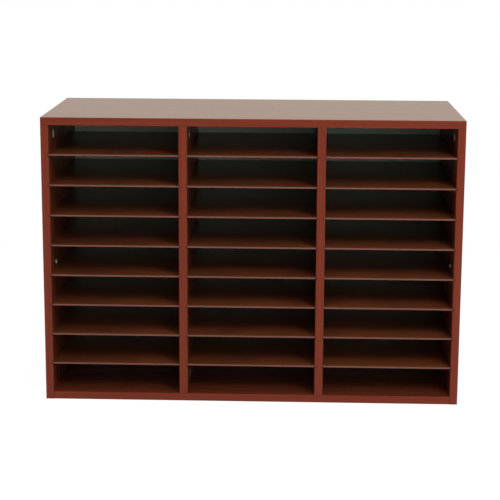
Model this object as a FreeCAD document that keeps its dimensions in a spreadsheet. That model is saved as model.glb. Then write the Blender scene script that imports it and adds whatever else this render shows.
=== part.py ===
import FreeCAD, Part
import os
import Sketcher

# Mail sorter: a laminated cabinet with three columns of nine open compartments.
# Front faces -Y, up is +Z, and the origin is the centre of the footprint on the table.

Vector = FreeCAD.Vector
Placement = FreeCAD.Placement
Rotation = FreeCAD.Rotation

COLUMNS = ("left", "middle", "right")
ROWS = 9
SHELVES = ROWS - 1
DIVIDERS = ("left_divider", "right_divider")
SAME_PLACE = 0.001

# Driving sizes in millimetres: name, value, what it is
SIZES = (
    ("compartment_width", 229, "clear width of a compartment, for letter paper lying flat"),
    ("compartment_height", 51.5, "clear height of a compartment"),
    ("cabinet_depth", 300, "front face of the edge bands to the rear edge of the boards"),
    ("shell_thickness", 14, "top, bottom and side boards"),
    ("divider_thickness", 15, "upright dividers"),
    ("rear_edge_radius", 1, "rounded upper rear edge of the top board"),
    ("band_thickness", 2, "edge band on the front of each board"),
    ("band_radius", 1, "rounded long edges of the front bands"),
    ("end_band_thickness", 1, "edge band on each end of the top board"),
    ("end_band_radius", 0.8, "rounded upper edge of the end bands"),
    ("shelf_thickness", 3, "hardboard shelf"),
    ("shelf_setback", 3, "front edge of a shelf behind the front face"),
    ("shelf_back_gap", 0.5, "rear edge of a shelf to the back panel"),
    ("shelf_play", 0.3, "free height above a shelf in its groove"),
    ("shelf_side_play", 0.4, "free width at each end of a shelf in its groove"),
    ("groove_depth", 2.5, "shelf grooves in the upright boards"),
    ("back_thickness", 3, "hardboard back panel"),
    ("back_inset", 1.5, "rear face of the back panel behind the board edges"),
    ("back_play", 0.5, "free edge around the back panel in its rebate"),
    ("rebate_width", 7, "rebate that the back panel lies in"),
    ("fitting_setback", 54, "cam fittings from the front and from the rear"),
    ("dowel_setback", 90, "dowels from the front and from the rear"),
    ("drill_play", 0.05, "radial play of hardware in its drilled hole"),
    ("end_play", 0.3, "free depth at the end of a drilled hole"),
    ("cam_diameter", 15, "cam housing"),
    ("cam_floor", 1.7, "board left behind a cam housing"),
    ("cam_inset", 0.1, "visible face of a cam below the board face"),
    ("cam_distance", 22, "cam centre from the joint between two boards"),
    ("cam_slot_length", 9, "cross slot in the face of a cam"),
    ("cam_slot_width", 1.4, "cross slot in the face of a cam"),
    ("cam_slot_depth", 2, "cross slot in the face of a cam"),
    ("ball_diameter", 6.4, "ball end of a bolt inside its cam"),
    ("ball_play", 0.4, "radial play of the ball end in the cam"),
    ("neck_diameter", 4.2, "neck of a bolt beside its ball end"),
    ("shank_diameter", 6.6, "shank of a bolt in the board edge"),
    ("shank_play", 0.2, "radial play of the shank in its bore"),
    ("thread_diameter", 5, "threaded end of a bolt"),
    ("thread_length", 10, "threaded end of a bolt in the board face"),
    ("dowel_diameter", 8, "wood dowel"),
    ("dowel_in_face", 10, "length of a dowel in the board face"),
    ("dowel_in_edge", 14, "length of a dowel in the board edge"),
    ("side_screw_rise", 12, "side screws above the shelf below the middle compartment"),
    ("side_screw_head", 8, "head diameter of a side screw"),
    ("side_screw_head_height", 1.6, "head height of a side screw"),
    ("side_screw_shank", 4, "shank diameter of a side screw"),
    ("side_screw_length", 11, "shank length of a side screw"),
    ("back_screw_head", 6.5, "head diameter of a back screw"),
    ("back_screw_head_height", 1.2, "head height of a back screw"),
    ("back_screw_shank", 3, "shank diameter of a back screw"),
    ("back_screw_length", 15, "shank length of a back screw"),
    ("back_screw_margin", 40, "outer back screws from the corners of the inside"),
    ("driver_slot_width", 1, "cross slot in a screw head"),
    ("driver_slot_depth", 0.8, "cross slot in a screw head"),
    ("driver_slot_share", 0.6, "length of the cross slot as a share of the head diameter"),
)

# Formulas of the main outline
INSIDE_WIDTH = f"({len(COLUMNS)} * Sizes.compartment_width + {len(DIVIDERS)} * Sizes.divider_thickness)"
INSIDE_HEIGHT = f"({ROWS} * Sizes.compartment_height + {SHELVES} * Sizes.shelf_thickness)"
WIDTH = f"({INSIDE_WIDTH} + 2 * Sizes.shell_thickness)"
HEIGHT = f"({INSIDE_HEIGHT} + 2 * Sizes.shell_thickness)"
SIDE_HEIGHT = f"({INSIDE_HEIGHT} + Sizes.shell_thickness)"
COLUMN_PITCH = "(Sizes.compartment_width + Sizes.divider_thickness)"
ROW_PITCH = "(Sizes.compartment_height + Sizes.shelf_thickness)"
FRONT = "(-0.5 * Sizes.cabinet_depth)"
REAR = "(0.5 * Sizes.cabinet_depth)"
LEFT = f"(-0.5 * {WIDTH})"
INNER_LEFT = f"(-0.5 * {INSIDE_WIDTH})"
INNER_RIGHT = f"(0.5 * {INSIDE_WIDTH})"

# Boards start behind their edge bands; the back panel's seat is where the dividers end
BOARD_FRONT = f"({FRONT} + Sizes.band_thickness)"
BOARD_DEPTH = "(Sizes.cabinet_depth - Sizes.band_thickness)"
REBATE_DEPTH = "(Sizes.back_thickness + Sizes.back_inset)"
SEAT_DEPTH = f"({BOARD_DEPTH} - {REBATE_DEPTH})"

# Distances of the drilled holes from the front edge of a board
FITTING_ROWS = (
    "(Sizes.fitting_setback - Sizes.band_thickness)",
    "(Sizes.cabinet_depth - Sizes.fitting_setback - Sizes.band_thickness)",
)
DOWEL_ROWS = (
    "(Sizes.dowel_setback - Sizes.band_thickness)",
    "(Sizes.cabinet_depth - Sizes.dowel_setback - Sizes.band_thickness)",
)

# Holes that the hardware sits in
THINNEST_BOARD = "min(Sizes.shell_thickness; Sizes.divider_thickness)"
AXIS_DEPTH = f"(0.5 * {THINNEST_BOARD})"
CAM_HOLE = "(Sizes.cam_diameter + 2 * Sizes.drill_play)"
CAM_HOLE_DEPTH = f"({THINNEST_BOARD} - Sizes.cam_floor)"
CAM_HEIGHT = f"({CAM_HOLE_DEPTH} - Sizes.cam_inset)"
SHANK_HOLE = "(Sizes.shank_diameter + 2 * Sizes.shank_play)"
THREAD_HOLE = "(Sizes.thread_diameter + 2 * Sizes.drill_play)"
THREAD_HOLE_DEPTH = "(Sizes.thread_length + Sizes.end_play)"
DOWEL_HOLE = "(Sizes.dowel_diameter + 2 * Sizes.drill_play)"
DOWEL_FACE_DEPTH = "(Sizes.dowel_in_face + Sizes.end_play)"
DOWEL_EDGE_DEPTH = "(Sizes.dowel_in_edge + Sizes.end_play)"
SIDE_SCREW_HOLE = "(Sizes.side_screw_shank + 2 * Sizes.drill_play)"
SIDE_SCREW_DEPTH = "(Sizes.side_screw_length + Sizes.end_play)"
BACK_SCREW_HOLE = "(Sizes.back_screw_shank + 2 * Sizes.drill_play)"
BACK_SCREW_DEPTH = "(Sizes.back_screw_length - Sizes.back_thickness + Sizes.end_play)"

# Side screws sit in the middle row of compartments
SIDE_SCREW_LEVEL = (
    f"(Sizes.shell_thickness + {ROWS // 2} * {ROW_PITCH} + Sizes.side_screw_rise)"
)

doc = FreeCAD.newDocument("mail_sorter")
sheet = doc.addObject("Spreadsheet::Sheet", "Sizes")
for row, (alias, value, note) in enumerate(SIZES, 1):
    sheet.set(f"A{row}", alias)
    sheet.set(f"B{row}", str(value))
    sheet.set(f"C{row}", note)
    sheet.setAlias(f"B{row}", alias)
doc.recompute()

pieces = []


def keep(item, label):
    """Name a finished piece of the sorter and list it."""
    item.Label = label
    pieces.append(item)
    return item


def place(item, x, y, z):
    """Bind the three coordinates of an item's place to formulas."""
    for axis, formula in (("x", x), ("y", y), ("z", z)):
        item.setExpression(f"Placement.Base.{axis}", formula)


def bind(item, **formulas):
    """Bind properties of an item to formulas."""
    for name, formula in formulas.items():
        item.setExpression(name, formula)


# Sketches on the origin planes of a board
def sketch_on(body, role, level):
    """Sketch on an origin plane of a body, moved along its normal by a level."""
    origin_plane = next(item for item in body.Origin.OriginFeatures if item.Role == role)
    sketch = body.newObject("Sketcher::SketchObject", "sketch")
    sketch.AttachmentSupport = [(origin_plane, "")]
    sketch.MapMode = "FlatFace"
    sketch.setExpression("AttachmentOffset.Base.z", level)
    return sketch


def dimension(sketch, kind, *arguments, formula):
    """Add a dimension to a sketch and bind it to a formula."""
    start_value = 1.0
    index = sketch.addConstraint(Sketcher.Constraint(kind, *arguments, start_value))
    sketch.renameConstraint(index, f"size_{index}")
    sketch.setExpression(f"Constraints.size_{index}", formula)


def draw_rectangle(sketch, left, bottom, width, height):
    """Rectangle from its lower left corner."""
    origin, start, end = (-1, 1), 1, 2
    first = sketch.GeometryCount
    corners = [Vector(0, 0), Vector(1, 0), Vector(1, 1), Vector(0, 1)]
    following = corners[1:] + corners[:1]
    sketch.addGeometry([Part.LineSegment(a, b) for a, b in zip(corners, following)])
    for side in range(4):
        next_side = first + (side + 1) % 4
        sketch.addConstraint(Sketcher.Constraint("Coincident", first + side, end, next_side, start))
        direction = "Vertical" if side % 2 else "Horizontal"
        sketch.addConstraint(Sketcher.Constraint(direction, first + side))
    dimension(sketch, "DistanceX", first, start, first, end, formula=width)
    dimension(sketch, "DistanceY", first + 1, start, first + 1, end, formula=height)
    dimension(sketch, "DistanceX", *origin, first, start, formula=left)
    dimension(sketch, "DistanceY", *origin, first, start, formula=bottom)


def draw_circle(sketch, x, y, diameter):
    """Circle about a centre."""
    origin, centre = (-1, 1), 3
    index = sketch.GeometryCount
    sketch.addGeometry(Part.Circle(Vector(1, 1), Vector(0, 0, 1), 1))
    dimension(sketch, "DistanceX", *origin, index, centre, formula=x)
    dimension(sketch, "DistanceY", *origin, index, centre, formula=y)
    dimension(sketch, "Diameter", index, formula=diameter)


# Features of a board
def extrude(body, sketch, height):
    """Raise a sketch to a height."""
    pad = body.newObject("PartDesign::Pad", "pad")
    pad.Profile = sketch
    bind(pad, Length=height)
    doc.recompute()


def board(label, width, depth, height):
    """Plain board with its lowest corner at its own origin."""
    body = doc.addObject("PartDesign::Body", "body")
    sketch = sketch_on(body, "XY_Plane", "0")
    draw_rectangle(sketch, "0", "0", width, depth)
    extrude(body, sketch, height)
    return keep(body, label)


def pocket(body, sketch, depth=None, forward=False):
    """Cut a sketch into a body: through it, or to a depth; forward is along the sketch's normal."""
    cut = body.newObject("PartDesign::Pocket", "pocket")
    cut.Profile = sketch
    cut.Reversed = forward
    if depth is None:
        cut.Type = "ThroughAll"
    else:
        bind(cut, Length=depth)
    return cut


def drill(body, role, level, holes, diameter, depth, forward=False):
    """Drill equal round holes from a plane; holes are pairs of formulas."""
    sketch = sketch_on(body, role, level)
    for x, y in holes:
        draw_circle(sketch, x, y, diameter)
    return pocket(body, sketch, depth, forward)


def recess(body, role, level, corner, size, depth, forward=False):
    """Cut one rectangular recess from a plane."""
    sketch = sketch_on(body, role, level)
    draw_rectangle(sketch, *corner, *size)
    return pocket(body, sketch, depth, forward)


def near(value, target):
    """True for two coordinates at one place."""
    return abs(value - target) < SAME_PLACE


def round_edges(body, chosen, radius):
    """Round the edges of a body that a test picks by their middle points."""
    base = body.Tip
    names = []
    for index, edge in enumerate(base.Shape.Edges, 1):
        middle = edge.valueAt((edge.FirstParameter + edge.LastParameter) / 2)
        if chosen(middle, base.Shape.BoundBox):
            names.append(f"Edge{index}")
    fillet = body.newObject("PartDesign::Fillet", "fillet")
    fillet.Base = (base, names)
    bind(fillet, Radius=radius)
    doc.recompute()


def shelf_grooves(body, first_level, thickness, faces):
    """Cut the row of shelf grooves into the chosen faces of an upright piece."""
    starts = {"left": "0", "right": f"{thickness} - Sizes.groove_depth"}
    height = "(Sizes.shelf_thickness + Sizes.shelf_play)"
    sketch = sketch_on(body, "XZ_Plane", "0")
    for face in faces:
        draw_rectangle(sketch, starts[face], first_level, "Sizes.groove_depth", height)
    groove = pocket(body, sketch)
    rows = body.newObject("PartDesign::LinearPattern", "grooves")
    rows.Originals = [groove]
    rows.Direction = (sketch, ["V_Axis"])
    rows.Occurrences = SHELVES
    bind(rows, Length=f"{SHELVES - 1} * {ROW_PITCH}")
    body.Tip = rows
    doc.recompute()


# Upright boards: which faces have grooves, where the drilled face is
def side_panel(name, x, inner_face):
    """Side board with grooves, a rebate for the back panel and drilled holes on its inner face."""
    thickness = "Sizes.shell_thickness"
    body = board(f"{name}_panel", thickness, BOARD_DEPTH, SIDE_HEIGHT)
    shelf_grooves(body, GROOVE_ABOVE_FLOOR, thickness, [inner_face])
    faces_right = inner_face == "right"
    level = thickness if faces_right else "0"
    inward = not faces_right
    rebate_start = "(Sizes.shell_thickness - Sizes.rebate_width)"
    corner = (SEAT_DEPTH, rebate_start)
    size = (REBATE_DEPTH, f"({SIDE_HEIGHT} - {rebate_start})")
    recess(body, "YZ_Plane", level, corner, size, "Sizes.rebate_width", inward)
    cam_level = f"({SIDE_HEIGHT} - Sizes.cam_distance)"
    cams = [(y, cam_level) for y in FITTING_ROWS]
    drill(body, "YZ_Plane", level, cams, CAM_HOLE, CAM_HOLE_DEPTH, inward)
    threads = [(y, AXIS_DEPTH) for y in FITTING_ROWS]
    drill(body, "YZ_Plane", level, threads, THREAD_HOLE, THREAD_HOLE_DEPTH, inward)
    dowels = [(y, AXIS_DEPTH) for y in DOWEL_ROWS]
    drill(body, "YZ_Plane", level, dowels, DOWEL_HOLE, DOWEL_FACE_DEPTH, inward)
    screws = [(y, SIDE_SCREW_LEVEL) for y in FITTING_ROWS]
    drill(body, "YZ_Plane", level, screws, SIDE_SCREW_HOLE, SIDE_SCREW_DEPTH, inward)
    axis = f"({thickness} - {AXIS_DEPTH})" if faces_right else AXIS_DEPTH
    edge_holes(body, axis, SIDE_HEIGHT)
    rebate_middle = "(Sizes.shell_thickness - 0.5 * Sizes.rebate_width)"
    across = rebate_middle if faces_right else "(0.5 * Sizes.rebate_width)"
    back_screw_holes(body, [(across, z) for z in back_screw_levels("0")])
    place(body, x, BOARD_FRONT, "0")
    front_band(name, x, "0", thickness, SIDE_HEIGHT, [inner_face], GROOVE_ABOVE_FLOOR)


def divider(name, x):
    """Upright divider with grooves on both faces and its fittings drilled from its right face."""
    thickness = "Sizes.divider_thickness"
    body = board(name, thickness, SEAT_DEPTH, INSIDE_HEIGHT)
    shelf_grooves(body, GROOVE_ABOVE_BOTTOM, thickness, ["left", "right"])
    cam_levels = ("Sizes.cam_distance", f"({INSIDE_HEIGHT} - Sizes.cam_distance)")
    cams = [(y, z) for y in FITTING_ROWS for z in cam_levels]
    drill(body, "YZ_Plane", thickness, cams, CAM_HOLE, CAM_HOLE_DEPTH)
    axis = f"({thickness} - {AXIS_DEPTH})"
    edge_holes(body, axis, INSIDE_HEIGHT)
    edge_holes(body, axis, "0", forward=True)
    levels = back_screw_levels("Sizes.shell_thickness")
    back_screw_holes(body, [(f"0.5 * {thickness}", z) for z in levels])
    place(body, x, BOARD_FRONT, "Sizes.shell_thickness")
    faces = ["left", "right"]
    front_band(name, x, "Sizes.shell_thickness", thickness, INSIDE_HEIGHT, faces, GROOVE_ABOVE_BOTTOM)


def front_band(name, x, z, thickness, height, faces, groove_level):
    """Edge band on the front of an upright board, cut by the same grooves."""
    body = board(f"{name}_edge_band", thickness, "Sizes.band_thickness", height)
    round_edges(body, upright_front_edge, "Sizes.band_radius")
    shelf_grooves(body, groove_level, thickness, faces)
    place(body, x, FRONT, z)


def upright_front_edge(middle, box):
    """The two long front edges of an upright band."""
    return near(middle.y, box.YMin) and not near(middle.z, box.ZMin) and not near(middle.z, box.ZMax)


def edge_holes(body, across, level, forward=False):
    """Bolt bores and dowel holes in the upper or lower edge of an upright board."""
    bolts = [(across, y) for y in FITTING_ROWS]
    drill(body, "XY_Plane", level, bolts, SHANK_HOLE, "Sizes.cam_distance", forward)
    dowels = [(across, y) for y in DOWEL_ROWS]
    drill(body, "XY_Plane", level, dowels, DOWEL_HOLE, DOWEL_EDGE_DEPTH, forward)


def back_screw_levels(foot):
    """Heights of the back screws in an upright board, measured from the board's foot."""
    low = f"(Sizes.shell_thickness - {foot} + Sizes.back_screw_margin)"
    span = f"({INSIDE_HEIGHT} - 2 * Sizes.back_screw_margin)"
    return [f"({low} + {share} * {span})" for share in UPRIGHT_SHARES]


def back_screw_places(start):
    """Places of the back screws along a level board, measured from the board's left end."""
    low = f"({INNER_LEFT} - {start} + Sizes.back_screw_margin)"
    span = f"({INSIDE_WIDTH} - 2 * Sizes.back_screw_margin)"
    return [f"({low} + {share} * {span})" for share in LEVEL_SHARES]


def back_screw_holes(body, holes):
    """Pilot holes of the back screws, drilled forward from the seat of the back panel."""
    seat_level = f"-{SEAT_DEPTH}"
    drill(body, "XZ_Plane", seat_level, holes, BACK_SCREW_HOLE, BACK_SCREW_DEPTH, forward=True)


# Grooves above the floor for the sides, and above the bottom board for the dividers
GROOVE_ABOVE_BOTTOM = "Sizes.compartment_height"
GROOVE_ABOVE_FLOOR = f"(Sizes.shell_thickness + {GROOVE_ABOVE_BOTTOM})"

# Back screws stand evenly between the margins
UPRIGHT_SCREWS = 3
LEVEL_SCREWS = 6
UPRIGHT_SHARES = [index / (UPRIGHT_SCREWS - 1) for index in range(UPRIGHT_SCREWS)]
LEVEL_SHARES = [index / (LEVEL_SCREWS - 1) for index in range(LEVEL_SCREWS)]

side_panel("left_side", LEFT, "right")
side_panel("right_side", INNER_RIGHT, "left")

divider_starts = [
    f"({INNER_LEFT} + Sizes.compartment_width + {index} * {COLUMN_PITCH})"
    for index in range(len(DIVIDERS))
]
for name, start in zip(DIVIDERS, divider_starts):
    divider(name, start)

# Bolt axes of the upright boards
SIDE_AXES = (f"({INNER_LEFT} - {AXIS_DEPTH})", f"({INNER_RIGHT} + {AXIS_DEPTH})")
DIVIDER_AXES = [f"({start} + Sizes.divider_thickness - {AXIS_DEPTH})" for start in divider_starts]


# Level boards
def face_holes(body, axes, start, level, forward=False):
    """Thread holes and dowel holes in the face of a level board, over the axes of the uprights."""
    bolts = [(f"({axis} - {start})", y) for axis in axes for y in FITTING_ROWS]
    drill(body, "XY_Plane", level, bolts, THREAD_HOLE, THREAD_HOLE_DEPTH, forward)
    dowels = [(f"({axis} - {start})", y) for axis in axes for y in DOWEL_ROWS]
    drill(body, "XY_Plane", level, dowels, DOWEL_HOLE, DOWEL_FACE_DEPTH, forward)


def level_band(name, x, z, width):
    """Edge band on the front of a level board, rounded on the edges of its front face."""
    body = board(f"{name}_edge_band", width, "Sizes.band_thickness", "Sizes.shell_thickness")
    round_edges(body, front_face_edge, "Sizes.band_radius")
    place(body, x, FRONT, z)


def front_face_edge(middle, box):
    """The four edges around the front face of a band."""
    return near(middle.y, box.YMin)


def upper_rear_edge(middle, box):
    """The upper edge at the rear."""
    return near(middle.z, box.ZMax) and near(middle.y, box.YMax)


def upper_left_edge(middle, box):
    """The upper edge at the left end."""
    return near(middle.z, box.ZMax) and near(middle.x, box.XMin)


def upper_right_edge(middle, box):
    """The upper edge at the right end."""
    return near(middle.z, box.ZMax) and near(middle.x, box.XMax)


thickness = "Sizes.shell_thickness"
TOP_LEFT = f"({LEFT} + Sizes.end_band_thickness)"
TOP_WIDTH = f"({WIDTH} - 2 * Sizes.end_band_thickness)"
top = board("top_panel", TOP_WIDTH, BOARD_DEPTH, thickness)
round_edges(top, upper_rear_edge, "Sizes.rear_edge_radius")
corner = (f"({INNER_LEFT} - Sizes.rebate_width - {TOP_LEFT})", SEAT_DEPTH)
size = (f"({INSIDE_WIDTH} + 2 * Sizes.rebate_width)", REBATE_DEPTH)
recess(top, "XY_Plane", "0", corner, size, "Sizes.rebate_width", forward=True)
face_holes(top, [*SIDE_AXES, *DIVIDER_AXES], TOP_LEFT, "0", forward=True)
top_screws = [(x, "(0.5 * Sizes.rebate_width)") for x in back_screw_places(TOP_LEFT)]
back_screw_holes(top, top_screws)
place(top, TOP_LEFT, BOARD_FRONT, SIDE_HEIGHT)
level_band("top", LEFT, SIDE_HEIGHT, WIDTH)

top_ends = (
    ("left", LEFT, upper_left_edge),
    ("right", f"({TOP_LEFT} + {TOP_WIDTH})", upper_right_edge),
)
for end, start, outer_edge in top_ends:
    end_band = board(f"top_{end}_end_band", "Sizes.end_band_thickness", BOARD_DEPTH, thickness)
    round_edges(end_band, outer_edge, "Sizes.end_band_radius")
    place(end_band, start, BOARD_FRONT, SIDE_HEIGHT)

bottom = board("bottom_panel", INSIDE_WIDTH, BOARD_DEPTH, thickness)
corner = ("0", SEAT_DEPTH)
size = (INSIDE_WIDTH, REBATE_DEPTH)
recess(bottom, "XY_Plane", thickness, corner, size, "Sizes.rebate_width")
face_holes(bottom, DIVIDER_AXES, INNER_LEFT, thickness)
cam_places = ("Sizes.cam_distance", f"({INSIDE_WIDTH} - Sizes.cam_distance)")
cams = [(x, y) for x in cam_places for y in FITTING_ROWS]
drill(bottom, "XY_Plane", "0", cams, CAM_HOLE, CAM_HOLE_DEPTH, forward=True)
for level, forward in (("0", True), (INSIDE_WIDTH, False)):
    bolts = [(y, AXIS_DEPTH) for y in FITTING_ROWS]
    drill(bottom, "YZ_Plane", level, bolts, SHANK_HOLE, "Sizes.cam_distance", forward)
    dowels = [(y, AXIS_DEPTH) for y in DOWEL_ROWS]
    drill(bottom, "YZ_Plane", level, dowels, DOWEL_HOLE, DOWEL_EDGE_DEPTH, forward)
rebate_middle = f"({thickness} - 0.5 * Sizes.rebate_width)"
bottom_screws = [(x, rebate_middle) for x in back_screw_places(INNER_LEFT)]
back_screw_holes(bottom, bottom_screws)
place(bottom, INNER_LEFT, BOARD_FRONT, "0")
level_band("bottom", INNER_LEFT, "0", INSIDE_WIDTH)

# Back panel in the rebates, with a clearance hole for each back screw
BACK_LEFT = f"({INNER_LEFT} - Sizes.rebate_width + Sizes.back_play)"
BACK_FOOT = "(Sizes.shell_thickness - Sizes.rebate_width + Sizes.back_play)"
BACK_WIDTH = f"(-2 * {BACK_LEFT})"
BACK_HEIGHT = f"({HEIGHT} - 2 * {BACK_FOOT})"
screw_axes = [f"({INNER_LEFT} - 0.5 * Sizes.rebate_width)"]
screw_axes += [f"({start} + 0.5 * Sizes.divider_thickness)" for start in divider_starts]
screw_axes += [f"({INNER_RIGHT} + 0.5 * Sizes.rebate_width)"]
rebate_foot = "(Sizes.shell_thickness - 0.5 * Sizes.rebate_width)"
rebate_head = f"({SIDE_HEIGHT} + 0.5 * Sizes.rebate_width)"
back_screws = [(x, z) for x in screw_axes for z in back_screw_levels("0")]
back_screws += [(x, z) for x in back_screw_places("0") for z in (rebate_foot, rebate_head)]
back = board("back_panel", BACK_WIDTH, "Sizes.back_thickness", BACK_HEIGHT)
holes = [(f"({x} - {BACK_LEFT})", f"({z} - {BACK_FOOT})") for x, z in back_screws]
drill(back, "XZ_Plane", "0", holes, BACK_SCREW_HOLE, None)
place(back, BACK_LEFT, f"({REAR} - {REBATE_DEPTH})", BACK_FOOT)

# Shelves, numbered from the bottom of each column
for column, column_name in enumerate(COLUMNS):
    for number in range(1, SHELVES + 1):
        shelf = doc.addObject("Part::Box", "shelf")
        bind(
            shelf,
            Length="Sizes.compartment_width + 2 * (Sizes.groove_depth - Sizes.shelf_side_play)",
            Width=f"{SEAT_DEPTH} + Sizes.band_thickness - Sizes.shelf_setback - Sizes.shelf_back_gap",
            Height="Sizes.shelf_thickness",
        )
        column_left = f"({INNER_LEFT} + {column} * {COLUMN_PITCH})"
        place(
            shelf,
            f"{column_left} - Sizes.groove_depth + Sizes.shelf_side_play",
            f"{FRONT} + Sizes.shelf_setback",
            f"Sizes.shell_thickness + {number} * {ROW_PITCH} - Sizes.shelf_thickness",
        )
        keep(shelf, f"{column_name}_shelf_{number}")


# Hardware: one pattern of each kind, set in the boards as often as it is used
ALONG_X = Rotation(Vector(0, 1, 0), 90)


def rod(radius, start, length):
    """Round bar along +X from a start."""
    item = doc.addObject("Part::Cylinder", "rod")
    bind(item, Radius=radius, Height=length)
    item.Placement = Placement(Vector(), ALONG_X)
    item.setExpression("Placement.Base.x", start)
    return item


def disc(radius, start, height):
    """Round disc along +Z from a start."""
    item = doc.addObject("Part::Cylinder", "disc")
    bind(item, Radius=radius, Height=height)
    item.setExpression("Placement.Base.z", start)
    return item


def cross_slots(top_level, length, width, depth):
    """Two crossing slots sunk from a level."""
    slots = []
    for long_side, short_side in ((length, width), (width, length)):
        slot = doc.addObject("Part::Box", "slot")
        bind(slot, Length=long_side, Width=short_side, Height=depth)
        place(slot, f"-0.5 * {long_side}", f"-0.5 * {short_side}", f"{top_level} - {depth}")
        slots.append(slot)
    return slots


def fuse(*items):
    """One solid from overlapping ones."""
    joined = doc.addObject("Part::MultiFuse", "joined")
    joined.Shapes = list(items)
    joined.Refine = True
    return joined


def cut(base, *tools):
    """A solid with others taken out of it."""
    result = doc.addObject("Part::Cut", "cut")
    result.Base = base
    result.Tool = fuse(*tools) if len(tools) > 1 else tools[0]
    return result


def along(point, direction, length):
    """Point, as three formulas, moved along a direction by a length."""
    return [f"({start} + {step} * {length})" for start, step in zip(point, direction)]


def turn(x_axis, z_axis):
    """Rotation that takes +X and +Z to two square directions."""
    across = Vector(*z_axis).cross(Vector(*x_axis))
    return Rotation(Vector(*x_axis), across, Vector(*z_axis), "ZXY")


def group(label, pattern, places):
    """Set a pattern at each place, a point with a rotation, as one group of separate solids."""
    copies = []
    for point, rotation in places:
        copy = doc.addObject("App::Link", "copy")
        copy.LinkedObject = pattern
        copy.LinkTransform = True
        copy.Placement = Placement(Vector(), rotation)
        place(copy, *point)
        copies.append(copy)
    compound = doc.addObject("Part::Compound", "group")
    compound.Links = copies
    return keep(compound, label)


RIGHTWARD, LEFTWARD = (1, 0, 0), (-1, 0, 0)
UPWARD, DOWNWARD = (0, 0, 1), (0, 0, -1)
BACKWARD = (0, 1, 0)

# Cam housing: base at z = 0, bolt comes in along +X
cam_axis_level = f"({CAM_HOLE_DEPTH} - {AXIS_DEPTH})"
ball_way_radius = "(0.5 * Sizes.ball_diameter + Sizes.ball_play)"
ball_way = rod(ball_way_radius, f"-{ball_way_radius}", f"Sizes.cam_diameter + {ball_way_radius}")
ball_way.setExpression("Placement.Base.z", cam_axis_level)
cam_slots = cross_slots(
    CAM_HEIGHT, "Sizes.cam_slot_length", "Sizes.cam_slot_width", "Sizes.cam_slot_depth"
)
cam = cut(disc("0.5 * Sizes.cam_diameter", "0", CAM_HEIGHT), ball_way, *cam_slots)

# Bolts: ball end at the cam centre, joint plane at the cam distance along +X
ball = doc.addObject("Part::Sphere", "ball")
ball.Placement = Placement(Vector(), ALONG_X)
bind(ball, Radius="0.5 * Sizes.ball_diameter")
neck_end = "0.5 * Sizes.cam_diameter"
shank_length = f"Sizes.cam_distance - {neck_end}"
neck = rod("0.5 * Sizes.neck_diameter", "0", neck_end)
shank = rod("0.5 * Sizes.shank_diameter", neck_end, shank_length)
thread = rod("0.5 * Sizes.thread_diameter", "Sizes.cam_distance", "Sizes.thread_length")
cam_bolt = fuse(ball, neck, shank, thread)

# Dowel: joint plane at x = 0, the end in the board face along +X
dowel_length = "Sizes.dowel_in_edge + Sizes.dowel_in_face"
dowel = rod("0.5 * Sizes.dowel_diameter", "-Sizes.dowel_in_edge", dowel_length)


def screw(name):
    """Screw with its head on z = 0, its shank along -Z and a cross slot in its head."""
    head_height = f"Sizes.{name}_head_height"
    head_disc = disc(f"0.5 * Sizes.{name}_head", "0", head_height)
    length = f"Sizes.{name}_length"
    body = fuse(head_disc, disc(f"0.5 * Sizes.{name}_shank", f"-{length}", length))
    slot_length = f"Sizes.driver_slot_share * Sizes.{name}_head"
    slots = cross_slots(head_height, slot_length, "Sizes.driver_slot_width", "Sizes.driver_slot_depth")
    return cut(body, *slots)


side_screw = screw("side_screw")
back_screw = screw("back_screw")

# Joints between boards: axis point, direction to the board that takes the bolt, visible cam face
ROOF = SIDE_HEIGHT
FLOOR = "Sizes.shell_thickness"
side_joints = [(SIDE_AXES[0], ROOF, UPWARD, RIGHTWARD), (SIDE_AXES[1], ROOF, UPWARD, LEFTWARD)]
divider_joints = [(axis, ROOF, UPWARD, RIGHTWARD) for axis in DIVIDER_AXES]
divider_joints += [(axis, FLOOR, DOWNWARD, RIGHTWARD) for axis in DIVIDER_AXES]
bottom_joints = [(INNER_LEFT, AXIS_DEPTH, LEFTWARD, DOWNWARD)]
bottom_joints += [(INNER_RIGHT, AXIS_DEPTH, RIGHTWARD, DOWNWARD)]


def joint_places(joints, setback, offset="0", face_offset="0"):
    """Place at the front and rear of each joint, moved back from the joint and towards its face."""
    places = []
    for x, z, direction, face in joints:
        for y in (f"({FRONT} + {setback})", f"({REAR} - {setback})"):
            point = along(along((x, y, z), direction, offset), face, face_offset)
            rotation = turn(direction, face)
            places.append((point, rotation))
    return places


FITTING = "Sizes.fitting_setback"
cam_back = "(-1 * Sizes.cam_distance)"
cam_sink = f"({AXIS_DEPTH} - {CAM_HOLE_DEPTH})"
cam_joints = side_joints + divider_joints + bottom_joints
group("cam_locks", cam, joint_places(cam_joints, FITTING, cam_back, cam_sink))
group("cam_bolts", cam_bolt, joint_places(cam_joints, FITTING, cam_back))
group("dowels", dowel, joint_places(cam_joints, "Sizes.dowel_setback"))

side_screw_places = []
for y in (f"({FRONT} + {FITTING})", f"({REAR} - {FITTING})"):
    side_screw_places.append(((INNER_LEFT, y, SIDE_SCREW_LEVEL), turn(UPWARD, RIGHTWARD)))
    side_screw_places.append(((INNER_RIGHT, y, SIDE_SCREW_LEVEL), turn(UPWARD, LEFTWARD)))
group("side_screws", side_screw, side_screw_places)

back_face = f"({REAR} - Sizes.back_inset)"
back_turn = turn(UPWARD, BACKWARD)
group("back_screws", back_screw, [((x, back_face, z), back_turn) for x, z in back_screws])

doc.recompute()

# Every feature has to be sound before anything is written
for item in doc.Objects:
    if "Invalid" in item.State or "Error" in item.State:
        raise RuntimeError(f"{item.Name} failed: {item.State}")
for piece in pieces:
    if piece.Shape.isNull() or not piece.Shape.isValid():
        raise RuntimeError(f"{piece.Label} has no sound shape")

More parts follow.
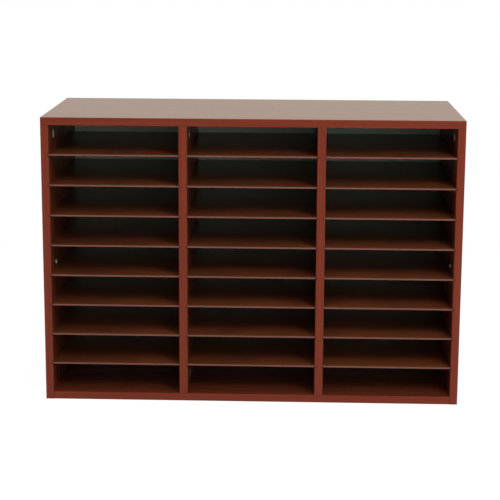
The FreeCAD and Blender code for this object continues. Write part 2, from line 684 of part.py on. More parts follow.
os.makedirs("parts", exist_ok=True)
for piece in pieces:
    piece.Shape.exportStep(f"parts/{piece.Label}.step")

whole = Part.makeCompound([piece.Shape for piece in pieces])
box = whole.BoundBox
print(f"{len(pieces)} pieces, {len(whole.Solids)} solids")
print(f"width {box.XLength:.1f}, depth {box.YLength:.1f}, height {box.ZLength:.1f} mm")
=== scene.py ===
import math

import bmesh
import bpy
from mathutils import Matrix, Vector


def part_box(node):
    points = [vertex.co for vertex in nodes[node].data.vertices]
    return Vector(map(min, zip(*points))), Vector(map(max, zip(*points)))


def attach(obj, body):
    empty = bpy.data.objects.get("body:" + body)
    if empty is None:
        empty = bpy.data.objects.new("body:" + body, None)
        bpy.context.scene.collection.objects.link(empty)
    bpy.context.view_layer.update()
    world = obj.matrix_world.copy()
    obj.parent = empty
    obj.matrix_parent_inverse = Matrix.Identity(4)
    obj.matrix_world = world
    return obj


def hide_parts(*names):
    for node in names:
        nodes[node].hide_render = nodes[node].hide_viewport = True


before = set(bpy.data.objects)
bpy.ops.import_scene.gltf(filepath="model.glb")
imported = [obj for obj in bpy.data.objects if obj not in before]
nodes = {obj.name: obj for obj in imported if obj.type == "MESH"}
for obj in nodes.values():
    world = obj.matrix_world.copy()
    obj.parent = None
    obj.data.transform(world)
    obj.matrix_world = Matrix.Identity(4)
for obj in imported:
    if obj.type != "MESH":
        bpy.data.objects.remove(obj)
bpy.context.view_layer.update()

# %% [markdown]
# A mail sorter is a plain laminated cabinet. Its boards, edge bands and fittings come from
# the CAD model, which is loaded above as a fixed frame, in metres, with the open front
# facing -Y. Blender adds what the CAD model leaves plain: the printed wood grain, the
# hardboard shelves with their softened edges, the zinc fittings, and the studio light.

MM = 0.001

# %% [markdown]
# Materials are built from nodes. Long sums read badly as chains of Math nodes, so a small
# class wraps a socket and lets plain Python operators add the nodes.

# %% Sums written as Python
class Amount:
    """A number socket that can be added, taken away, multiplied and compared."""

    def __init__(self, finish, socket):
        self.finish = finish
        self.socket = socket

    def maths(self, operation, first, second):
        settings = {"operation": operation}
        node = self.finish.node("ShaderNodeMath", settings, {0: first, 1: second})
        return Amount(self.finish, node.outputs[0])

    def __add__(self, other):
        return self.maths("ADD", self, other)

    def __radd__(self, other):
        return self.maths("ADD", other, self)

    def __sub__(self, other):
        return self.maths("SUBTRACT", self, other)

    def __rsub__(self, other):
        return self.maths("SUBTRACT", other, self)

    def __mul__(self, other):
        return self.maths("MULTIPLY", self, other)

    def __rmul__(self, other):
        return self.maths("MULTIPLY", other, self)

    def __gt__(self, limit):
        return self.maths("GREATER_THAN", self, limit)


print(Amount.__name__, "wraps a socket for +, -, * and >")

# %% [markdown]
# A second class stands for one finish. It owns the material, and its method "node" adds any
# kind of node. The short methods below it give noise, ramps, steps and relief, because each
# finish of the cabinet needs them in the same way.

# %% One finish and its nodes
WAVE_AT_ONE = math.pi / 10  # metres from crest to crest of a Wave Texture at a scale of 1


class Finish:
    """A node material, or the nodes of the world, built one node at a time."""

    def __init__(self, name, owner=None):
        self.owner = owner or bpy.data.materials.new(name)
        self.owner.use_nodes = True
        self.tree = self.owner.node_tree
        self.tree.nodes.clear()

    def node(self, kind, settings=None, sockets=None):
        """Add a node: its settings first, then the values or links of its sockets."""
        node = self.tree.nodes.new(kind)
        for name, value in (settings or {}).items():
            if name == "stops":
                self.set_stops(node.color_ramp, value)
            else:
                setattr(node, name, value)
        for key, value in (sockets or {}).items():
            socket = node.inputs[key] if isinstance(key, int) else self.find(node, key)
            self.feed(socket, value)
        return node

    def find(self, node, name):
        return next(socket for socket in node.inputs if socket.name == name and socket.enabled)

    def feed(self, socket, value):
        if isinstance(value, Amount):
            value = value.socket
        if isinstance(value, bpy.types.NodeSocket):
            self.tree.links.new(value, socket)
        else:
            socket.default_value = value

    def set_stops(self, ramp, stops):
        while len(ramp.elements) < len(stops):
            ramp.elements.new(0.5)
        for element, (position, colour) in zip(ramp.elements, stops):
            element.position = position
            element.color = colour

    def amount(self, kind, settings=None, sockets=None, output=0):
        return Amount(self, self.node(kind, settings, sockets).outputs[output])

    def place(self, scale=(1, 1, 1)):
        """Object coordinates in metres, stretched by a scale for a pattern."""
        where = self.node("ShaderNodeTexCoord").outputs["Object"]
        sockets = {"Vector": where, "Scale": scale}
        return self.node("ShaderNodeMapping", None, sockets).outputs[0]

    def noise(self, scale, detail=3.0, roughness=0.55):
        """Cloudy pattern whose grain size is set along each axis, in spots per metre."""
        sockets = {"Vector": self.place(scale), "Scale": 1.0, "Detail": detail, "Roughness": roughness}
        return self.amount("ShaderNodeTexNoise", None, sockets)

    def screen(self, pitch):
        """Small dimples in rows and columns across the XZ plane, each a pitch wide."""
        sizes = {"Vector": self.place(), "Scale": WAVE_AT_ONE / pitch}
        across = self.amount("ShaderNodeTexWave", {"bands_direction": "X"}, sizes)
        upward = self.amount("ShaderNodeTexWave", {"bands_direction": "Z"}, sizes)
        return across * upward

    def ramp(self, factor, stops):
        return self.node("ShaderNodeValToRGB", {"stops": stops}, {"Fac": factor}).outputs[0]

    def mix(self, factor, first, second):
        sockets = {"Factor": factor, "A": first, "B": second}
        return self.node("ShaderNodeMix", {"data_type": "RGBA"}, sockets).outputs["Result"]

    def facing(self, axis):
        """How far a face points along +X, +Y or +Z of the object, from -1 to 1."""
        normal = self.node("ShaderNodeTexCoord").outputs["Normal"]
        return Amount(self, self.node("ShaderNodeSeparateXYZ", None, {0: normal}).outputs[axis])

    def steps(self, value, start, end):
        """Soft step from 0 at the start to 1 at the end."""
        sockets = {"Value": value, "From Min": start, "From Max": end}
        return self.amount("ShaderNodeMapRange", {"interpolation_type": "SMOOTHSTEP"}, sockets)

    def shown(self):
        """1 where the camera sees a place, also through glass, and 0 for plain light."""
        rays = self.node("ShaderNodeLightPath").outputs
        return Amount(self, rays["Is Camera Ray"]) + Amount(self, rays["Is Transmission Ray"])

    def mirrored(self):
        """1 where a gloss or a mirror shows a place."""
        return Amount(self, self.node("ShaderNodeLightPath").outputs["Is Glossy Ray"])

    def bump(self, height, depth):
        """Relief of the height pattern, with its depth in metres."""
        sockets = {"Height": height, "Distance": depth, "Strength": 1.0}
        return self.node("ShaderNodeBump", None, sockets).outputs[0]

    def surface(self, sockets):
        """The finished surface, from the sockets of one Principled shader."""
        shader = self.node("ShaderNodeBsdfPrincipled", None, sockets)
        self.node("ShaderNodeOutputMaterial", None, {"Surface": shader.outputs[0]})
        return self.owner


print("a finish can make:", [name for name in vars(Finish) if not name.startswith("_")])

# %% [markdown]
# Colours are given on a chart from 0 to 255, as screens show them. The renderer counts in
# light instead, so one small function follows the standard curve between the two. The
# mahogany print needs three tones: the dark pores, the ground and the light streaks.

# %% Colours
def tone(red, green, blue):
    """A colour from the chart, turned into light by the standard curve of screens."""
    def light(value):
        share = value / 255
        return share / 12.92 if share <= 0.04045 else ((share + 0.055) / 1.055) ** 2.4
    return (light(red), light(green), light(blue), 1.0)


MAHOGANY_DARK = tone(84, 37, 21)
MAHOGANY = tone(99, 45, 27)
MAHOGANY_LIGHT = tone(111, 53, 33)
print("mahogany as light:", [round(value, 3) for value in MAHOGANY])

# %% [markdown]
# The boards are chipboard with a printed mahogany paper sealed under melamine. The print
# runs along each board, so the same finish is made three times, for grain along X, Y or Z.
# A pattern that is stretched a hundredfold along one axis reads as pores and streaks. The
# sawn rear edges are left raw on such cabinets, and there the chips show.

# %% Mahogany laminate
CHIP_DARK = tone(120, 90, 60)
CHIP_LIGHT = tone(190, 160, 118)
CHIPS = [420.0, 420.0, 420.0]  # spots per metre along each axis
PORES_ACROSS = 420.0
PORES_ALONG = 7.0
STREAKS_ACROSS = 34.0
STREAKS_ALONG = 1.6
PORE_DEPTH = 0.04 * MM
SHEEN = 0.2


def stretched(across, along, axis):
    """Spots per metre, fine across the board and long along its grain."""
    scale = [across] * 3
    scale["XYZ".index(axis)] = along
    return scale


def wood_print(finish, axis):
    """Colour and fine pores of the printed grain, which also has broad streaks."""
    pores = finish.noise(stretched(PORES_ACROSS, PORES_ALONG, axis), detail=4.0)
    streaks = finish.noise(stretched(STREAKS_ACROSS, STREAKS_ALONG, axis), detail=2.0)
    grain = 0.55 * pores + 0.45 * streaks
    stops = [(0.36, MAHOGANY_DARK), (0.5, MAHOGANY), (0.66, MAHOGANY_LIGHT)]
    return finish.ramp(grain, stops), pores


def laminate(axis):
    finish = Finish(f"laminate_grain_{axis}")
    colour, pores = wood_print(finish, axis)
    chips = finish.noise(CHIPS, detail=5.0, roughness=0.7)
    core = finish.ramp(chips, [(0.4, CHIP_DARK), (0.6, CHIP_LIGHT)])
    sawn = finish.facing("Y") > 0.9
    roughness = 0.24 + 0.08 * pores + 0.5 * sawn
    return finish.surface({
        "Base Color": finish.mix(sawn, colour, core),
        "Roughness": roughness,
        "Normal": finish.bump(pores + 2.0 * (sawn * chips), PORE_DEPTH),
        "Specular IOR Level": SHEEN,
    })


LAMINATE = {axis: laminate(axis) for axis in "XYZ"}
print("laminates:", [material.name for material in LAMINATE.values()])

# %% [markdown]
# The front edges wear a thick plastic band in the same mahogany, glued on and rounded by
# the trimmer. It is redder and more even than the laminate, with faint marks along its
# length, so it gets a finish of its own.

# %% Edge band
BAND_DARK = tone(106, 37, 16)
BAND_LIGHT = tone(119, 44, 20)
MARKS_ACROSS = 300.0
MARKS_ALONG = 3.0
MARK_DEPTH = 0.03 * MM


def edge_band(axis):
    finish = Finish(f"edge_band_{axis}")
    marks = finish.noise(stretched(MARKS_ACROSS, MARKS_ALONG, axis), detail=3.0)
    return finish.surface({
        "Base Color": finish.ramp(marks, [(0.38, BAND_DARK), (0.62, BAND_LIGHT)]),
        "Roughness": 0.26 + 0.1 * marks,
        "Normal": finish.bump(marks, MARK_DEPTH),
        "Specular IOR Level": SHEEN,
    })


EDGE_BAND = {axis: edge_band(axis) for axis in "XYZ"}
print("edge bands:", [material.name for material in EDGE_BAND.values()])

# %% [markdown]
# The shelves are 3 mm hardboard: pressed wood fibre, stained brown and lacquered on its
# smooth faces. Sawing opens the fibre, so the edge is paler and rougher than the faces.
# The object's own Normal tells the shader which faces are edges.

# %% Hardboard of the shelves
HARDBOARD_DARK = tone(90, 47, 26)
HARDBOARD_LIGHT = tone(112, 60, 33)
SAWN_DARK = tone(98, 55, 45)
SAWN_LIGHT = tone(120, 71, 59)
SHELF_FIBRES = [900.0, 500.0, 900.0]
STAIN_CLOUDS = [9.0, 14.0, 9.0]
FIBRE_DEPTH = 0.03 * MM


def shelf_board():
    finish = Finish("shelf_hardboard")
    fibres = finish.noise(SHELF_FIBRES, detail=4.0)
    clouds = finish.noise(STAIN_CLOUDS, detail=2.0)
    face = finish.ramp(0.4 * fibres + 0.6 * clouds, [(0.38, HARDBOARD_DARK), (0.62, HARDBOARD_LIGHT)])
    edge = finish.ramp(fibres, [(0.35, SAWN_DARK), (0.65, SAWN_LIGHT)])
    sawn = 1 - (finish.facing("Z") * finish.facing("Z") > 0.5)
    return finish.surface({
        "Base Color": finish.mix(sawn, face, edge),
        "Roughness": 0.26 + 0.1 * fibres + 0.35 * sawn,
        "Normal": finish.bump(fibres, FIBRE_DEPTH),
        "Specular IOR Level": 0.5,
    })


SHELF_BOARD = shelf_board()
print("shelves wear:", SHELF_BOARD.name)

# %% [markdown]
# The back panel has two faces. The inner one is painted pale, which brightens the depth of
# the compartments a little. The rear one is raw brown, and keeps the print of the wire
# screen that it was pressed on. Two crossed waves make that print as colour and relief.

# %% Hardboard of the back panel
INSIDE_DARK = tone(188, 204, 184)
INSIDE_LIGHT = tone(203, 219, 199)
RAW_DARK = tone(92, 66, 44)
RAW_LIGHT = tone(128, 94, 64)
BACK_FIBRES = [700.0, 700.0, 500.0]
SCREEN_PITCH = 2.0 * MM
SCREEN_DEPTH = 0.15 * MM


def back_board():
    """Pale smooth face inside, and the raw brown rear face with the print of the screen."""
    finish = Finish("back_hardboard")
    fibres = finish.noise(BACK_FIBRES, detail=4.0)
    inside = finish.ramp(fibres, [(0.35, INSIDE_DARK), (0.65, INSIDE_LIGHT)])
    screen = finish.screen(SCREEN_PITCH) * (0.7 + 0.6 * fibres)
    outside = finish.ramp(screen, [(0.1, RAW_LIGHT), (0.8, RAW_DARK)])
    rear = finish.facing("Y") > 0.5
    return finish.surface({
        "Base Color": finish.mix(rear, inside, outside),
        "Roughness": 0.45 + 0.2 * fibres + 0.2 * rear,
        "Normal": finish.bump(0.3 * fibres - screen * rear, SCREEN_DEPTH),
        "Specular IOR Level": 0.35,
    })


BACK_BOARD = back_board()
print("back panel wears:", BACK_BOARD.name)

# %% [markdown]
# The fittings are zinc: the cams are cast, with a dull pale skin, and the bolts and screws
# are plated steel with a soft shine. A dull skin shows its own colour even when it is seen
# almost edge on, as these cams are, while a shiny one would mirror the dark compartment.
# The dowels are plain beech.

# %% Zinc and beech
CAST_DARK = tone(214, 211, 203)
CAST_LIGHT = tone(238, 235, 227)
PLATED_DARK = tone(190, 187, 181)
PLATED_LIGHT = tone(218, 215, 209)
ZINC_CLOUDS = [260.0, 260.0, 260.0]
SKIN_DEPTH = 0.05 * MM
BEECH_DARK = tone(186, 142, 98)
BEECH_LIGHT = tone(214, 174, 128)
BEECH_FLECKS = [900.0, 900.0, 120.0]


def zinc(name, dark, light, metal, sheen):
    finish = Finish(name)
    clouds = finish.noise(ZINC_CLOUDS, detail=4.0)
    return finish.surface({
        "Base Color": finish.ramp(clouds, [(0.35, dark), (0.65, light)]),
        "Roughness": 0.3 + 0.25 * clouds,
        "Normal": finish.bump(clouds, SKIN_DEPTH),
        "Metallic": metal * clouds,
        "Specular IOR Level": sheen,
    })


def beech():
    finish = Finish("beech")
    flecks = finish.noise(BEECH_FLECKS, detail=3.0)
    return finish.surface({
        "Base Color": finish.ramp(flecks, [(0.35, BEECH_DARK), (0.65, BEECH_LIGHT)]),
        "Roughness": 0.55 + 0.1 * flecks,
        "Normal": finish.bump(flecks, SKIN_DEPTH),
    })


CAST_ZINC = zinc("cast_zinc", CAST_DARK, CAST_LIGHT, metal=0.1, sheen=0.05)
PLATED_STEEL = zinc("plated_steel", PLATED_DARK, PLATED_LIGHT, metal=0.6, sheen=0.5)
BEECH = beech()
print("small finishes:", CAST_ZINC.name, PLATED_STEEL.name, BEECH.name)

# %% [markdown]
# Each CAD piece keeps its shape and gets its finish. The grain of a board follows its
# longest side, as a saw cuts it from the sheet, so the box of each node decides the axis.

# %% Finishes on the CAD pieces
def longest_axis(node):
    low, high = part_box(node)
    lengths = [end - start for start, end in zip(low, high)]
    return "XYZ"[lengths.index(max(lengths))]


def dress(node, material):
    for slot in nodes[node].material_slots:
        slot.material = material


METAL_NODES = ("cam_locks", "cam_bolts", "side_screws", "back_screws")
for node in nodes:
    if node.endswith("_band"):
        dress(node, EDGE_BAND[longest_axis(node)])
    elif node.endswith("_panel") or node.endswith("_divider"):
        dress(node, LAMINATE[longest_axis(node)])
    elif node in METAL_NODES:
        dress(node, PLATED_STEEL)
dress("back_panel", BACK_BOARD)
dress("dowels", BEECH)
print("grain of the top board runs along", longest_axis("top_panel"))

# %% [markdown]
# Next come the pieces that repeat, and Geometry Nodes suit them: one tree holds the rule,
# and named inputs hold the sizes. A small class builds such a tree. Its finished result is
# turned into a plain mesh, because the moving parts have to be ordinary objects.

# %% A tree with named sizes
class Rule:
    """A Geometry Nodes tree with named inputs that makes plain meshes."""

    def __init__(self, name, inputs):
        self.tree = bpy.data.node_groups.new(name, "GeometryNodeTree")
        face = self.tree.interface
        face.new_socket("Geometry", in_out="INPUT", socket_type="NodeSocketGeometry")
        self.keys = {}
        for label, kind in inputs.items():
            socket = face.new_socket(label, in_out="INPUT", socket_type=f"NodeSocket{kind}")
            self.keys[label] = socket.identifier
        face.new_socket("Geometry", in_out="OUTPUT", socket_type="NodeSocketGeometry")
        self.given = self.tree.nodes.new("NodeGroupInput").outputs

    def node(self, kind, settings=None, sockets=None):
        """Add a node: its settings first, then the values or links of its sockets."""
        node = self.tree.nodes.new(kind)
        for name, value in (settings or {}).items():
            setattr(node, name, value)
        for key, value in (sockets or {}).items():
            socket = node.inputs[key]
            for source in value if isinstance(value, list) else [value]:
                if isinstance(source, bpy.types.NodeSocket):
                    self.tree.links.new(source, socket)
                else:
                    socket.default_value = source
        return node

    def maths(self, operation, first, second):
        return self.node("ShaderNodeMath", {"operation": operation}, {0: first, 1: second}).outputs[0]

    def close(self, geometry, material):
        """End the tree in real geometry with its material."""
        real = self.node("GeometryNodeRealizeInstances", None, {0: geometry}).outputs[0]
        sockets = {"Geometry": real, "Material": material}
        dressed = self.node("GeometryNodeSetMaterial", None, sockets).outputs[0]
        self.node("NodeGroupOutput", None, {0: dressed})

    def make(self, name, values, seed_mesh=None):
        """Run the tree with the given sizes and return the result as a plain object."""
        start = seed_mesh or bpy.data.meshes.new(f"{name}_start")
        maker = bpy.data.objects.new(f"{name}_maker", start)
        bpy.context.collection.objects.link(maker)
        modifier = maker.modifiers.new("rule", "NODES")
        modifier.node_group = self.tree
        for label, value in values.items():
            modifier[self.keys[label]] = value
        evaluated = maker.evaluated_get(bpy.context.evaluated_depsgraph_get())
        mesh = bpy.data.meshes.new_from_object(evaluated)
        maker.modifiers.remove(modifier)
        bpy.data.objects.remove(maker)
        piece = bpy.data.objects.new(name, mesh)
        bpy.context.collection.objects.link(piece)
        return piece


# %% [markdown]
# A shelf is a sheet with its long edges eased by a pass of sandpaper. The rule draws the
# section across the depth as a rectangle with small round corners, and sweeps it along the
# width. The ends stay square, because they hide in the grooves.

# %% The shelf rule
EASE = 0.4 * MM
EASE_STEPS = 4
SHELF_SIZES = ("Width", "Depth", "Thickness", "Ease")
shelf_rule = Rule("shelf", {**{label: "Float" for label in SHELF_SIZES}, "Centre": "Vector"})
given = shelf_rule.given
outline = shelf_rule.node(
    "GeometryNodeCurvePrimitiveQuadrilateral", {"mode": "RECTANGLE"},
    {"Width": given["Depth"], "Height": given["Thickness"]},
)
eased = shelf_rule.node(
    "GeometryNodeFilletCurve", {"mode": "POLY"},
    {"Curve": outline.outputs[0], "Count": EASE_STEPS, "Radius": given["Ease"]},
)
half = shelf_rule.maths("MULTIPLY", given["Width"], 0.5)
minus_half = shelf_rule.maths("MULTIPLY", given["Width"], -0.5)
start = shelf_rule.node("ShaderNodeCombineXYZ", None, {0: minus_half}).outputs[0]
end = shelf_rule.node("ShaderNodeCombineXYZ", None, {0: half}).outputs[0]
path = shelf_rule.node("GeometryNodeCurvePrimitiveLine", None, {"Start": start, "End": end}).outputs[0]
level = shelf_rule.node("GeometryNodeSetCurveNormal", {"mode": "Z_UP"}, {"Curve": path}).outputs[0]
swept = shelf_rule.node(
    "GeometryNodeCurveToMesh", None,
    {"Curve": level, "Profile Curve": eased.outputs[0], "Fill Caps": True},
)
moved = shelf_rule.node(
    "GeometryNodeTransform", None,
    {"Geometry": swept.outputs[0], "Translation": given["Centre"]},
)
shelf_rule.close(moved.outputs[0], SHELF_BOARD)

shelf_nodes = sorted(node for node in nodes if "_shelf_" in node)
for node in shelf_nodes:
    low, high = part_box(node)
    width, depth, thickness = (b - a for a, b in zip(low, high))
    centre = [(a + b) / 2 for a, b in zip(low, high)]
    sizes = {"Width": width, "Depth": depth, "Thickness": thickness, "Ease": EASE, "Centre": centre}
    shelf = shelf_rule.make(f"{node}_board", sizes)
    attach(shelf, node)
    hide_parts(node)
print("shelves:", len(shelf_nodes), "faces each:", len(shelf.data.polygons))

# %% [markdown]
# Cam housings and screws share one form: a round head, a little domed so that a driver finds
# its middle, a cross recess, and a plain round body below. One rule makes the form from
# eight sizes, and sets it on points that each carry the direction that the head looks in.
# A cam is cast in zinc and turned by a screwdriver, so its recess is wide and deep.

# %% The fitting rule
ROUND_SIDES = 40
HEAD_RINGS = 6
FITTING_SIZES = (
    "Head Radius", "Head Height", "Dome",
    "Slot Length", "Slot Width", "Slot Depth",
    "Body Radius", "Body Length",
)
fitting_rule = Rule("fitting", {**{label: "Float" for label in FITTING_SIZES}, "Finish": "Material"})
given = fitting_rule.given


def round_bar(rule, radius, length, rings):
    """Upright round bar, centred, with rings of faces across its ends."""
    sockets = {"Vertices": ROUND_SIDES, "Fill Segments": rings, "Radius": radius, "Depth": length}
    return rule.node("GeometryNodeMeshCylinder", {"fill_type": "TRIANGLE_FAN"}, sockets).outputs[0]


def lifted(rule, geometry, height):
    """Geometry moved up by a height."""
    offset = rule.node("ShaderNodeCombineXYZ", None, {2: height}).outputs[0]
    sockets = {"Geometry": geometry, "Offset": offset}
    return rule.node("GeometryNodeSetPosition", None, sockets).outputs[0]


maths = fitting_rule.maths
where = fitting_rule.node("GeometryNodeInputPosition").outputs[0]
parts = fitting_rule.node("ShaderNodeSeparateXYZ", None, {0: where}).outputs
outward = maths("ADD", maths("MULTIPLY", parts[0], parts[0]), maths("MULTIPLY", parts[1], parts[1]))
share = maths("DIVIDE", outward, maths("MULTIPLY", given["Head Radius"], given["Head Radius"]))
fall = maths("MULTIPLY", maths("MULTIPLY", share, given["Dome"]), maths("GREATER_THAN", parts[2], 0.0))
half_head = maths("MULTIPLY", given["Head Height"], 0.5)
head = round_bar(fitting_rule, given["Head Radius"], given["Head Height"], HEAD_RINGS)
head = lifted(fitting_rule, head, maths("SUBTRACT", half_head, fall))
print("fitting rule has", len(fitting_rule.tree.nodes), "nodes so far")

# %% [markdown]
# The recess is a cross taken out of the head. Its two bars are joined first, because two
# cuts that overlap would leave loose edges, and points that fall together are merged. The
# body hangs below the head, and the whole is set on every point, turned so that its axis
# follows the point's direction.

# %% The recess, the body and the points
SAME_POINT = 0.005 * MM

double_depth = maths("MULTIPLY", given["Slot Depth"], 2.0)
bars = []
for long_side, short_side in (("Slot Length", "Slot Width"), ("Slot Width", "Slot Length")):
    size = fitting_rule.node(
        "ShaderNodeCombineXYZ", None, {0: given[long_side], 1: given[short_side], 2: double_depth},
    ).outputs[0]
    bar = fitting_rule.node("GeometryNodeMeshCube", None, {"Size": size}).outputs[0]
    bars.append(lifted(fitting_rule, bar, given["Head Height"]))
join = {"operation": "UNION", "solver": "EXACT"}
cut = {"operation": "DIFFERENCE", "solver": "EXACT"}
cross = fitting_rule.node("GeometryNodeMeshBoolean", join, {"Mesh 2": bars}).outputs[0]
sockets = {"Mesh 1": head, "Mesh 2": cross}
recessed = fitting_rule.node("GeometryNodeMeshBoolean", cut, sockets).outputs[0]
sockets = {"Geometry": recessed, "Distance": SAME_POINT}
recessed = fitting_rule.node("GeometryNodeMergeByDistance", None, sockets).outputs[0]
body = round_bar(fitting_rule, given["Body Radius"], given["Body Length"], 1)
body = lifted(fitting_rule, body, maths("MULTIPLY", given["Body Length"], -0.5))
whole = fitting_rule.node("GeometryNodeJoinGeometry", None, {0: [recessed, body]}).outputs[0]
face = fitting_rule.node(
    "GeometryNodeInputNamedAttribute", {"data_type": "FLOAT_VECTOR"}, {"Name": "face"},
).outputs[0]
turned = fitting_rule.node(
    "FunctionNodeAlignRotationToVector", {"axis": "Z"}, {"Vector": face},
).outputs[0]
points = fitting_rule.node("NodeGroupInput").outputs["Geometry"]
set_out = fitting_rule.node(
    "GeometryNodeInstanceOnPoints", None, {"Points": points, "Instance": whole, "Rotation": turned},
)
fitting_rule.close(set_out.outputs[0], given["Finish"])
print("fitting rule has", len(fitting_rule.tree.nodes), "nodes")

# %% [markdown]
# The points come from the CAD frame, so that each fitting sits in its drilled hole. A node
# with sixteen cams holds sixteen loose solids, and the box of each solid gives its place.

# %% Where the fittings stand
CAD_POINT = 0.001 * MM  # CAD points closer than this are one point


def solid_boxes(node):
    """Low and high corner of each loose solid in a CAD node, from left to right."""
    form = bmesh.new()
    form.from_mesh(nodes[node].data)
    form.transform(nodes[node].matrix_world)
    bmesh.ops.remove_doubles(form, verts=form.verts, dist=CAD_POINT)
    waiting = set(form.verts)
    boxes = []
    while waiting:
        solid = []
        edge = [waiting.pop()]
        while edge:
            vertex = edge.pop()
            solid.append(vertex.co.copy())
            for link in vertex.link_edges:
                other = link.other_vert(vertex)
                if other in waiting:
                    waiting.remove(other)
                    edge.append(other)
        low = Vector([min(point[axis] for point in solid) for axis in range(3)])
        high = Vector([max(point[axis] for point in solid) for axis in range(3)])
        boxes.append((low, high))
    form.free()
    return sorted(boxes, key=lambda box: tuple(box[0]))


def inward(low, high):
    """Direction into the cabinet from the side or divider that holds a fitting, or down."""
    size = high - low
    if size.z < size.x and size.z < size.y:
        return Vector((0, 0, -1))
    on_right_side = low.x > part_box("right_side_panel")[0][0] - size.x
    return Vector((-1 if on_right_side else 1, 0, 0))


def rearward(low, high):
    """Direction out of the back panel."""
    return Vector((0, 1, 0))


def set_fittings(node, name, sizes, finish, look):
    """Replace the plain solids of a CAD node by the fitting rule's."""
    spots = []
    for low, high in solid_boxes(node):
        direction = look(low, high)
        half = sum(abs(step) * (end - start) / 2 for step, start, end in zip(direction, low, high))
        spots.append(((low + high) / 2 + direction * (half - sizes["Head Height"]), direction))
    seeds = bpy.data.meshes.new(f"{name}_points")
    seeds.from_pydata([spot for spot, direction in spots], [], [])
    looks = seeds.attributes.new("face", "FLOAT_VECTOR", "POINT")
    for place, (spot, direction) in zip(looks.data, spots):
        place.vector = direction
    piece = fitting_rule.make(name, {**sizes, "Finish": finish}, seeds)
    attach(piece, "cabinet")
    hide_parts(node)
    return len(spots)


def sizes_in_metres(*lengths):
    """Sizes of one kind of fitting, by the names of the rule's inputs."""
    return {label: length * MM for label, length in zip(FITTING_SIZES, lengths)}


# Head radius, height and dome; slot length, width and depth; body radius and length, in mm
CAM = sizes_in_metres(7.5, 1.5, 0.1, 9.0, 1.6, 1.2, 7.4, 10.7)
SIDE_SCREW = sizes_in_metres(4.0, 1.6, 0.7, 4.4, 0.9, 0.8, 2.0, 11.0)
BACK_SCREW = sizes_in_metres(3.25, 1.2, 0.5, 3.6, 0.8, 0.7, 1.5, 15.0)
counts = [
    set_fittings("cam_locks", "cast_cams", CAM, CAST_ZINC, inward),
    set_fittings("side_screws", "side_screw_set", SIDE_SCREW, PLATED_STEEL, inward),
    set_fittings("back_screws", "back_screw_set", BACK_SCREW, PLATED_STEEL, rearward),
]
print("cams, side screws, back screws:", counts)

# %% [markdown]
# A camera that matches the photograph's angle stands in front, a little above the top and
# to the right of the middle. The long lens keeps the uprights nearly parallel, and a small
# shift stands in for the way the photograph's verticals were kept upright.

# %% Camera
CAMERA_PLACE = Vector((0.0685, -2.5424, 0.8286))
CAMERA_YAW = math.radians(1.72)
CAMERA_PITCH = math.radians(10.80)
CAMERA_ROLL = math.radians(-0.29)
CAMERA_LENS = 99.52
CAMERA_SHIFT = -0.10
SENSOR_WIDTH = 36.0
QUARTER_TURN = math.radians(90)

camera = bpy.data.objects.new("camera", bpy.data.cameras.new("camera"))
bpy.context.collection.objects.link(camera)
camera.data.sensor_width = SENSOR_WIDTH
camera.data.lens = CAMERA_LENS
camera.data.shift_y = CAMERA_SHIFT
heading = Matrix.Rotation(CAMERA_YAW, 4, "Z")
tilt = Matrix.Rotation(QUARTER_TURN - CAMERA_PITCH, 4, "X")
roll = Matrix.Rotation(-CAMERA_ROLL, 4, "Z")
camera.matrix_world = Matrix.Translation(CAMERA_PLACE) @ heading @ tilt @ roll
bpy.context.scene.camera = camera
print("camera at", [round(value, 3) for value in camera.location], "lens", CAMERA_LENS)

# %% [markdown]
# The photograph's light comes from one soft lamp in front, to the right and above: it
# reaches only the front of each shelf, and each upright throws a slanted shadow on the
# shelf to its left. A round area lamp of that size gives the same soft edge.

# %% The lamp
KEY_PLACE = Vector((0.75, -1.35, 1.32))
KEY_AIM = Vector((0.0, -0.15, 0.25))
KEY_SIZE = 0.65
KEY_POWER = 10.8

key = bpy.data.objects.new("key_lamp", bpy.data.lights.new("key_lamp", "AREA"))
bpy.context.collection.objects.link(key)
key.data.shape = "DISK"
key.data.size = KEY_SIZE
key.data.energy = KEY_POWER
key.visible_camera = False
key.location = KEY_PLACE
key.rotation_euler = (KEY_AIM - KEY_PLACE).to_track_quat("-Z", "Y").to_euler()
print("key lamp:", KEY_POWER, "W, ", KEY_SIZE, "m across")

# %% [markdown]
# The world is the pale room around the lamp. Its light is plain, with a brighter card in
# front and a bright ceiling, as in a studio. The camera sees it pure white. Gloss sees it
# a little warm, because the photograph's top has a warm sheen, and dimmed in front, where a
# photographer stands dark against the room.

# %% The room
ROOM_LIGHT = 0.35
FRONT_CARD = (0.45, -1.0, 0.0)
CARD_START = 0.75
FRONT_GLOW = 1.55
CEILING_START = 0.5
CEILING_GLOW = 1.5
GLOSS_TONE = tone(255, 248, 233)
GLOSS_GLOW = 1.12
DIM_FRONT = 0.25
DIM_END = -0.95
DIM_START = -0.4
WHITE = (1, 1, 1, 1)

world = bpy.data.worlds.new("pale_room")
bpy.context.scene.world = world
room = Finish("pale_room", world)
direction = room.node("ShaderNodeTexCoord").outputs["Generated"]


def toward(*aim):
    """How far a ray runs along a direction, from -1 to 1."""
    sockets = {0: direction, 1: Vector(aim).normalized()}
    return room.amount("ShaderNodeVectorMath", {"operation": "DOT_PRODUCT"}, sockets, output="Value")


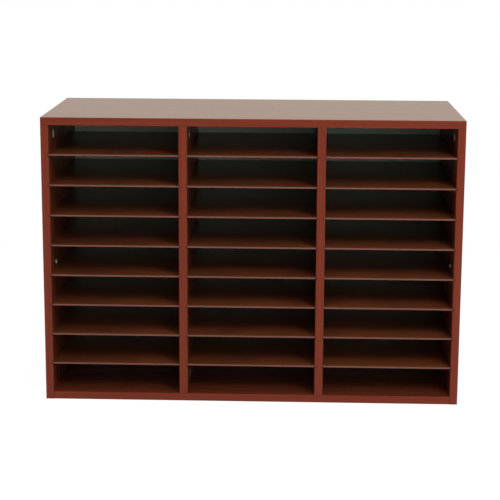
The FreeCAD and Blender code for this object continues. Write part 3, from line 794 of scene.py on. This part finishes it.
front_card = room.steps(toward(*FRONT_CARD), CARD_START, 1.0) * (FRONT_GLOW - ROOM_LIGHT)
ceiling = room.steps(toward(0, 0, 1), CEILING_START, 1.0) * (CEILING_GLOW - ROOM_LIGHT)
room_light = front_card + ceiling + ROOM_LIGHT
gloss = room.steps(toward(0, 1, 0), DIM_END, DIM_START) * (GLOSS_GLOW - DIM_FRONT) + DIM_FRONT
hidden = 1 - room.shown() - room.mirrored()
strength = room.shown() + room.mirrored() * gloss + hidden * room_light
colour = room.mix(room.mirrored(), WHITE, GLOSS_TONE)
background = room.node("ShaderNodeBackground", None, {"Color": colour, "Strength": strength})
room.node("ShaderNodeOutputWorld", None, {"Surface": background.outputs[0]})
print("nodes of the room:", len(room.tree.nodes))

# %% [markdown]
# The floor is a white sheet of paper. To the camera and to gloss it glows almost white and
# takes the cabinet's shadow near the middle, and it fades to pure white further out, so
# that no edge shows. To all other light it is plain paper.

# %% The floor
FLOOR_HALF = 6.0
FLOOR_GLOW = 0.88
FLOOR_SHADE = 0.2
FADE_START = 0.55
FADE_END = 1.3
PAPER_DARK = tone(240, 240, 239)
PAPER_LIGHT = tone(246, 246, 246)
PAPER_CLOUDS = [3.0, 3.0, 3.0]

floor_mesh = bpy.data.meshes.new("floor")
corners = [(x * FLOOR_HALF, y * FLOOR_HALF, 0) for x, y in ((-1, -1), (1, -1), (1, 1), (-1, 1))]
floor_mesh.from_pydata(corners, [], [(0, 1, 2, 3)])
floor = bpy.data.objects.new("floor", floor_mesh)
bpy.context.collection.objects.link(floor)
paper = Finish("white_floor")
spot = {0: paper.place()}
radius = paper.amount("ShaderNodeVectorMath", {"operation": "LENGTH"}, spot, output="Value")
glow = paper.node("ShaderNodeEmission", None, {"Color": WHITE, "Strength": FLOOR_GLOW}).outputs[0]
shade = paper.node("ShaderNodeBsdfDiffuse", None, {"Color": (*[FLOOR_SHADE] * 3, 1)}).outputs[0]
near = paper.node("ShaderNodeAddShader", None, {0: glow, 1: shade}).outputs[0]
far = paper.node("ShaderNodeEmission", None, {"Color": WHITE, "Strength": 1.0}).outputs[0]
fade = paper.steps(radius, FADE_START, FADE_END)
pictured = paper.node("ShaderNodeMixShader", None, {0: fade, 1: near, 2: far}).outputs[0]
clouds = paper.noise(PAPER_CLOUDS)
paper_colour = paper.ramp(clouds, [(0.3, PAPER_DARK), (0.7, PAPER_LIGHT)])
card = paper.node("ShaderNodeBsdfDiffuse", None, {"Color": paper_colour}).outputs[0]
seen = paper.shown() + paper.mirrored()
sheet = paper.node("ShaderNodeMixShader", None, {0: seen, 1: card, 2: pictured}).outputs[0]
paper.node("ShaderNodeOutputMaterial", None, {"Surface": sheet})
floor_mesh.materials.append(paper.owner)
bpy.context.scene.view_settings.view_transform = "Standard"
print("floor:", 2 * FLOOR_HALF, "m wide, with", len(paper.tree.nodes), "nodes")
